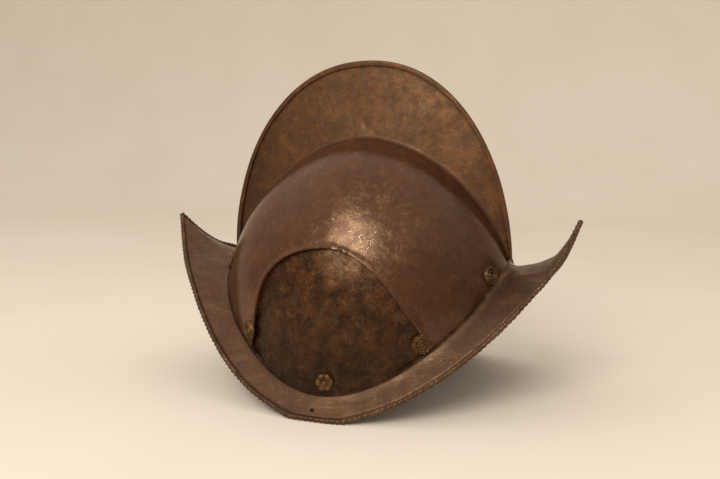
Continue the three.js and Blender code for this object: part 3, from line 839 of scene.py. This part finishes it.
class Nodes:
    """Adds shader nodes one after another to a material."""

    def __init__(self, name):
        self.material = bpy.data.materials.new(name)
        self.material.use_nodes = True
        self.tree = self.material.node_tree
        self.shader = self.tree.nodes["Principled BSDF"]
        self.place = self.add("ShaderNodeTexCoord").outputs["Object"]

    def add(self, kind, **settings):
        node = self.tree.nodes.new(kind)
        for key, value in settings.items():
            setattr(node, key, value)
        return node

    def link(self, source, target):
        self.tree.links.new(source, target)

    def feed(self, socket, value):
        if isinstance(value, bpy.types.NodeSocket):
            self.link(value, socket)
        else:
            socket.default_value = value

    def mapped(self, scale=(1, 1, 1), rotation=(0, 0, 0), shift=(0, 0, 0)):
        node = self.add("ShaderNodeMapping")
        self.link(self.place, node.inputs["Vector"])
        node.inputs["Scale"].default_value = scale
        node.inputs["Rotation"].default_value = rotation
        node.inputs["Location"].default_value = shift
        return node.outputs["Vector"]

    def noise(self, size_mm, detail=4, rough=0.55, vector=None, distortion=0.0):
        node = self.add("ShaderNodeTexNoise")
        self.link(vector or self.place, node.inputs["Vector"])
        node.inputs["Scale"].default_value = 1000 / size_mm
        node.inputs["Detail"].default_value = detail
        node.inputs["Roughness"].default_value = rough
        node.inputs["Distortion"].default_value = distortion
        return node.outputs["Fac"]

    def span(self, value, low, high, to_low=0.0, to_high=1.0):
        node = self.add("ShaderNodeMapRange", interpolation_type="SMOOTHSTEP")
        self.link(value, node.inputs["Value"])
        for name, number in zip(("From Min", "From Max", "To Min", "To Max"), (low, high, to_low, to_high)):
            node.inputs[name].default_value = number
        return node.outputs["Result"]

    def math(self, operation, a, b):
        node = self.add("ShaderNodeMath", operation=operation)
        self.feed(node.inputs[0], a)
        self.feed(node.inputs[1], b)
        return node.outputs[0]

    def blend(self, share, a, b, mode="MIX"):
        node = self.add("ShaderNodeMix", data_type="RGBA", blend_type=mode)
        self.feed(node.inputs["Factor"], share)
        self.feed(node.inputs[6], colour(a) if isinstance(a, tuple) else a)
        self.feed(node.inputs[7], colour(b) if isinstance(b, tuple) else b)
        return node.outputs[2]

    def height(self, axis):
        node = self.add("ShaderNodeSeparateXYZ")
        self.link(self.place, node.inputs[0])
        return node.outputs[axis]

    def bump(self, height, distance_mm, strength=1.0, normal=None):
        node = self.add("ShaderNodeBump")
        node.inputs["Strength"].default_value = strength
        node.inputs["Distance"].default_value = distance_mm * MM
        self.link(height, node.inputs["Height"])
        if normal:
            self.link(normal, node.inputs["Normal"])
        return node.outputs["Normal"]

    def finish(self, base, metallic, roughness, normal, specular, tint=(1, 1, 1, 1)):
        self.feed(self.shader.inputs["Base Color"], base)
        self.feed(self.shader.inputs["Metallic"], metallic)
        self.shader.inputs["Specular IOR Level"].default_value = specular
        self.shader.inputs["Specular Tint"].default_value = tint
        self.feed(self.shader.inputs["Roughness"], roughness)
        self.link(normal, self.shader.inputs["Normal"])
        return self.material


def colour(rgb):
    """A linear colour from red, green and blue as they look, from 0 to 255."""
    linear = [((c / 255 + 0.055) / 1.055) ** 2.4 if c > 10 else c / 255 / 12.92 for c in rgb]
    return (*linear, 1)


def scratches(n, length_mm, width_mm, rotation, low, high):
    """Thin pale lines, where a stretched noise peaks."""
    vector = n.mapped((1 / length_mm * 10, 1 / width_mm * 10, 1 / length_mm * 10), rotation)
    lines = n.noise(10, 2, 0.5, vector)
    return n.span(lines, low, high)


WARM_GLOSS = (1, 0.76, 0.55, 1)


def aged_steel(
    name, tones, rough, patch_mm=11.0, contrast=0.13, wear=1.0, pitting=1.0, rust_share=0.5,
    shade=None, gold=None, wear_and_highlight_mask=None, blotch=0.0, streaks=0.0, gloss=0.55,
):
    """Iron under an old brown patina, worn to bare metal in specks and scratches. tones are dark, middle,
    light, rust and bare metal. shade darkens one stretch of the plate with painted shade and gold warms one,
    the mask after them is where most of the wear lies and where a pale painted highlight is laid, blotch the
    strength of the 5 to 10 mm stains and streaks that of the rubbed ones."""
    dark, middle, light, rust, bare = tones
    n = Nodes(name)
    broad = n.span(n.noise(46, 4, 0.5), 0.34, 0.66)
    cloud = n.span(n.noise(patch_mm, 9, 0.66, distortion=0.3), 0.5 - contrast, 0.5 + contrast)
    stain_noise = n.noise(patch_mm * 1.7, 9, 0.72, n.mapped(shift=(0.2, 0.6, 0.3)), 0.5)
    stains = n.span(stain_noise, 0.47, 0.47 + contrast)
    flecks = n.span(n.noise(3.4, 8, 0.75, n.mapped(shift=(0.3, 0.1, 0.2))), 0.5, 0.66)
    grain = n.noise(1.1, 4, 0.7)
    specks = n.span(n.noise(0.9, 4, 0.7, n.mapped(shift=(0.7, 0.2, 0.5))), 0.57, 0.7)
    clusters = n.span(n.noise(8, 6, 0.65, n.mapped(shift=(0.1, 0.9, 0.4))), 0.47, 0.64)
    first = scratches(n, 9, 0.22, (0.3, 0.5, 0.9), 0.68, 0.78)
    second = scratches(n, 6, 0.2, (1.1, -0.4, -0.6), 0.7, 0.8)
    marks = n.math("MAXIMUM", specks, n.math("MAXIMUM", first, second))
    worn = n.math("MULTIPLY", n.math("MULTIPLY", marks, clusters), wear)
    # Where the worn specks and the painted highlight are laid.
    wear_and_highlight_zone = wear_and_highlight_mask(n) if wear_and_highlight_mask else None
    if wear_and_highlight_mask:
        worn = n.math("MULTIPLY", worn, wear_and_highlight_zone)

    base = n.blend(broad, middle, light)
    if gold:
        base = n.blend(gold(n), base, rust)
    base = n.blend(n.math("MULTIPLY", cloud, 0.7), base, dark)
    base = n.blend(n.math("MULTIPLY", stains, rust_share), base, rust)
    base = n.blend(n.math("MULTIPLY", flecks, 0.6 * rust_share), base, rust)
    base = n.blend(n.span(grain, 0.35, 0.7, 0.0, 0.5), base, dark)
    # Painted highlight: a pale cream laid over the base where the wear mask is strongest.
    if wear_and_highlight_mask:
        painted_highlight = n.span(n.noise(7, 12, 0.8, n.mapped(shift=(0.9, 0.4, 0.1))), 0.47, 0.66)
        base = n.blend(n.math("MULTIPLY", n.math("MULTIPLY", painted_highlight, wear_and_highlight_zone), 0.55), base, PAINTED_HIGHLIGHT_CREAM)
    if blotch:
        dark_spots = n.span(n.noise(12, 12, 0.78, n.mapped(shift=(0.8, 0.3, 0.6)), 0.2), 0.44, 0.66)
        pale_spots = n.span(n.noise(10, 12, 0.8, n.mapped(shift=(0.4, 0.7, 0.9)), 0.2), 0.5, 0.72)
        base = n.blend(n.math("MULTIPLY", pale_spots, blotch), base, PALE_STAIN)
        base = n.blend(n.math("MULTIPLY", dark_spots, blotch), base, dark)
    if streaks:
        rubbed = n.span(n.noise(10, 5, 0.6, n.mapped((1 / 4, 1 / 4, 1.6), (0.2, 0.1, 0.0))), 0.5, 0.68)
        base = n.blend(n.math("MULTIPLY", rubbed, streaks), base, PALE_STAIN)
    # Painted shade: over one stretch of the plate the base is multiplied towards a dark tone.
    if shade:
        base = n.blend(shade(n), base, PAINTED_SHADE_TONE, "MULTIPLY")
    base = n.blend(worn, base, bare)

    uneven = n.math("ADD", n.math("MULTIPLY", cloud, 0.55), n.math("MULTIPLY", flecks, 0.45))
    roughness = n.span(uneven, 0.0, 0.9, rough[0], rough[1])
    metallic = n.span(worn, 0.0, 1.0, 0.22, 0.95)
    pits = n.span(n.noise(2.4, 6, 0.65, n.mapped(shift=(0.5, 0.5, 0.1))), 0.35, 0.7)
    normal = n.bump(pits, 0.12 * pitting, 0.5)
    normal = n.bump(cloud, 0.15 * pitting, 0.3, normal)
    normal = n.bump(grain, 0.05 * pitting, 0.5, normal)
    return n.finish(base, metallic, roughness, normal, gloss, WARM_GLOSS)


# The dark tone that the painted shade multiplies into the base.
PAINTED_SHADE_TONE = (118, 103, 92)
PALE_STAIN = (124, 87, 54)
# The pale tone of the painted highlight laid round the worn place.
PAINTED_HIGHLIGHT_CREAM = (160, 128, 96)
WEAR_AND_HIGHLIGHT_PLACE = (24, 131)  # x and z in side view, just above the window, where the wear and the painted highlight centre


def skull_painted_shade(n):
    """Painted shade: the skull is darker at its front end and low at its back."""
    front = n.span(n.height("X"), 0.045, 0.095, 0.0, 0.5)
    back = n.span(n.height("X"), -0.06, -0.1, 0.0, 0.4)
    ragged = n.span(n.noise(26, 8, 0.7), 0.3, 0.62, 0.5, 1.0)
    return n.math("MULTIPLY", n.math("MAXIMUM", front, back), ragged)


def wear_and_highlight_area(n):
    """Bright wear and a pale painted highlight lie mostly above the window and on the collar's top behind it,
    and lightly elsewhere.
    """
    offset = n.add("ShaderNodeVectorMath", operation="DISTANCE")
    n.link(n.mapped((1, 0, 1)), offset.inputs[0])
    x, z = WEAR_AND_HIGHLIGHT_PLACE
    offset.inputs[1].default_value = ((x + SHIFT_X) * MM, 0, z * MM)
    return n.span(offset.outputs["Value"], 0.012, 0.05, 1.0, 0.16)




def window_painted_shade(n):
    """Painted shade: the collar is darkest low down and towards the back."""
    low = n.span(n.height("Z"), 0.02, 0.12, 0.95, 0.0)
    back = n.span(n.height("X"), -0.07, 0.0, 1.0, 0.0)
    ragged = n.span(n.noise(22, 8, 0.7), 0.3, 0.62, 0.55, 1.0)
    return n.math("MULTIPLY", n.math("MAXIMUM", low, back), ragged)


def comb_gold(n):
    """The comb is warmest in a patch in front of its middle, low down."""
    front = n.span(n.height("X"), -0.03, 0.035)
    low = n.span(n.height("Z"), 0.25, 0.21)
    patchy = n.span(n.noise(26, 6, 0.6), 0.35, 0.6)
    return n.math("MULTIPLY", n.math("MULTIPLY", front, low), n.math("MULTIPLY", patchy, 0.8))


# Painted shade: the comb darkens towards its back.
def comb_painted_shade(n):
    return n.span(n.height("X"), -0.05, -0.12, 0.0, 0.5)


def brim_painted_shade(n):
    """Painted shade: the brim darkens towards its front peak."""
    return n.span(n.height("X"), 0.06, 0.11, 0.0, 0.4)


def make_materials():
    m = {}
    m["skull"] = aged_steel(
        "skull_patina", ((61, 34, 21), (86, 51, 30), (94, 57, 35), (78, 45, 24), (236, 214, 180)),
        (0.16, 0.3), 17, 0.17, 1.0, 0.5, 0.4, skull_painted_shade, wear_and_highlight_mask=wear_and_highlight_area, blotch=0.3)
    m["comb"] = aged_steel(
        "comb_patina", ((53, 33, 20), (83, 51, 29), (90, 58, 32), (109, 64, 27), (190, 152, 100)),
        (0.36, 0.55), 11, 0.11, 0.45, 0.9, 0.6, comb_painted_shade, comb_gold, blotch=0.45)
    m["apron"] = aged_steel(
        "apron_patina", ((32, 16, 8), (71, 44, 25), (87, 58, 35), (95, 56, 28), (200, 172, 132)),
        (0.2, 0.44), 9, 0.07, 0.7, 1.0, 0.7, window_painted_shade, wear_and_highlight_mask=wear_and_highlight_area, blotch=0.95, gloss=0.3)
    m["brim"] = aged_steel(
        "brim_patina", ((58, 35, 22), (80, 52, 33), (88, 59, 38), (75, 44, 24), (190, 164, 130)),
        (0.3, 0.5), 13, 0.11, 0.7, 1.0, 0.45, brim_painted_shade, blotch=0.4, streaks=0.25)
    m["edge"] = aged_steel(
        "edge_worn", ((37, 23, 13), (78, 51, 32), (99, 69, 45), (66, 39, 22), (214, 190, 154)),
        (0.32, 0.48), 6, 0.13, 0.9, 0.9, 0.3)
    m["inside"] = aged_steel(
        "inside_rust", ((32, 20, 12), (56, 35, 21), (68, 43, 26), (80, 44, 21), (130, 104, 78)),
        (0.55, 0.75), 8, 0.12, 0.3, 1.6, 0.7)
    m["rosette"] = aged_steel(
        "rosette_brass", ((37, 23, 12), (90, 61, 34), (110, 76, 43), (65, 40, 20), (204, 172, 122)),
        (0.26, 0.44), 4, 0.12, 1.0, 0.8, 0.45)
    return m


# ---------------------------------------------------------------- the helmet


def build_helmet(m):
    plates = (
        ("crown", "right", crown_half("crown_plate_right", False, [m["comb"], m["skull"], m["inside"]])),
        ("crown", "left", crown_half("crown_plate_left", True, [m["comb"], m["skull"], m["inside"]])),
        ("brim", "right", brim_half("brim_plate_right", False, [m["brim"], m["apron"], m["inside"]])),
        ("brim", "left", brim_half("brim_plate_left", True, [m["brim"], m["apron"], m["inside"]])),
    )
    for slot, side, piece in plates:
        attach(piece, "root")
        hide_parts(f"{slot}_half_{side}")
    for side in ("right", "left"):
        edge = brim_edge_half(f"brim_edge_{side}", side == "left", m["edge"])
        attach(edge, "root")
        for name, x, z, on_collar in ROSETTES:
            fine_name = f"rosette_fine_{name}_{side}"
            piece = rosette_piece(fine_name, x, z, on_collar, side == "left", m["rosette"])
            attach(piece, "root")
            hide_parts(f"rosette_{name}_{side}")


# ---------------------------------------------------------------- stage, light and camera

FLOOR_DEPTH = 1.3
COVE_RADIUS = 0.7
COVE_STEPS = 24
WALL_TOP = 2.6
STAGE_WIDTH = 70.0
STAGE_FRONT = -35.0


def build_stage():
    """A pale floor that curves up into a wall behind the helmet."""
    profile = [(STAGE_FRONT, 0), (FLOOR_DEPTH, 0)]
    for k in range(1, COVE_STEPS + 1):
        angle = PI / 2 * k / COVE_STEPS
        y = FLOOR_DEPTH + COVE_RADIUS * math.sin(angle)
        profile.append((y, COVE_RADIUS * (1 - math.cos(angle))))
    profile.append((FLOOR_DEPTH + COVE_RADIUS, WALL_TOP))
    half = STAGE_WIDTH / 2
    points = [(x, y, z) for y, z in profile for x in (-half, half)]
    faces = [(2 * i, 2 * i + 1, 2 * i + 3, 2 * i + 2) for i in range(len(profile) - 1)]
    mesh = bpy.data.meshes.new("stage_floor")
    mesh.from_pydata(points, [], faces)
    mesh.polygons.foreach_set("use_smooth", [True] * len(faces))
    n = Nodes("stage_paper")
    soft = n.span(n.noise(400, 3), 0.3, 0.7)
    tone = n.blend(soft, (234, 224, 211), (238, 229, 217))
    normal = n.bump(n.noise(3, 3), 0.05, 0.2)
    mesh.materials.append(n.finish(tone, 0.0, 0.8, normal, 0.2))
    floor = bpy.data.objects.new("stage_floor", mesh)
    bpy.context.scene.collection.objects.link(floor)


def area_light(name, direction, distance, size, power, tint):
    """A round soft light aimed at the helmet's middle."""
    target = Vector((0, 0, 0.13))
    data = bpy.data.lights.new(name, "AREA")
    data.shape = "DISK"
    data.size = size
    data.energy = power
    data.color = tint
    light = bpy.data.objects.new(name, data)
    towards = Vector(direction).normalized()
    light.location = target + towards * distance
    light.rotation_mode = "QUATERNION"
    light.rotation_quaternion = towards.to_track_quat("Z", "Y")
    bpy.context.scene.collection.objects.link(light)


SKY_HIGH = (1.0, 0.93, 0.84, 1)
SKY_LOW = (0.36, 0.32, 0.275, 1)
SKY_STRENGTH = 0.9
SKY_TURNS = (0.05, 0.75)  # where the sky starts to brighten and where it is brightest, as the height of a ray
KEY_DIRECTION = (-0.03, -0.82, 0.57)
KEY_DISTANCE = 1.7
KEY_SIZE = 1.0
KEY_POWER = 16.5
KEY_TINT = (1.0, 0.92, 0.81)


def build_lights():
    area_light("key", KEY_DIRECTION, KEY_DISTANCE, KEY_SIZE, KEY_POWER, KEY_TINT)
    world = bpy.data.worlds.new("studio")
    world.use_nodes = True
    nodes, links = world.node_tree.nodes, world.node_tree.links
    place = nodes.new("ShaderNodeTexCoord")
    split = nodes.new("ShaderNodeSeparateXYZ")
    rise = nodes.new("ShaderNodeMapRange")
    rise.interpolation_type = "SMOOTHSTEP"
    rise.inputs["From Min"].default_value = SKY_TURNS[0]
    rise.inputs["From Max"].default_value = SKY_TURNS[1]
    sky = nodes.new("ShaderNodeMix")
    sky.data_type = "RGBA"
    sky.inputs[6].default_value = SKY_LOW
    sky.inputs[7].default_value = SKY_HIGH
    links.new(place.outputs["Generated"], split.inputs[0])
    links.new(split.outputs["Z"], rise.inputs["Value"])
    links.new(rise.outputs["Result"], sky.inputs["Factor"])
    links.new(sky.outputs[2], nodes["Background"].inputs["Color"])
    nodes["Background"].inputs["Strength"].default_value = SKY_STRENGTH
    bpy.context.scene.world = world


CAMERA_PLACE = Vector((0.23666, -0.63098, 0.20335))
CAMERA_LOOK = Vector((-0.35854, 0.92524, -0.12402))
CAMERA_ROLL = math.radians(-0.78)
LENS = 40.47
SENSOR = 36


def build_camera():
    data = bpy.data.cameras.new("camera")
    data.lens = LENS
    data.sensor_width = SENSOR
    data.clip_start = 0.02
    data.clip_end = 50
    camera = bpy.data.objects.new("camera", data)
    camera.location = CAMERA_PLACE + Vector((SHIFT_X * MM, 0, 0))
    camera.rotation_mode = "QUATERNION"
    upright = CAMERA_LOOK.to_track_quat("-Z", "Y")
    camera.rotation_quaternion = upright @ Quaternion((0, 0, 1), CAMERA_ROLL)
    bpy.context.scene.collection.objects.link(camera)
    bpy.context.scene.camera = camera


def shift_of_frame():
    """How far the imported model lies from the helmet's own frame along X, from the front peak's tip."""
    tip = np.array(BRIM_EDGE[0], float) * (1, -1, 1)
    centre, _ = bead_centre(0.0, tip)
    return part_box("brim_half_right")[1].x / MM - (centre[0] + EDGE_BEAD)


SHIFT_X = shift_of_frame()
ARCH_LINE = along_curve([(x, z) for x, z in ARCH], np.linspace(0, 1, 260))

build_helmet(make_materials())
build_stage()
build_lights()
build_camera()
bpy.context.scene.view_settings.view_transform = "Standard"
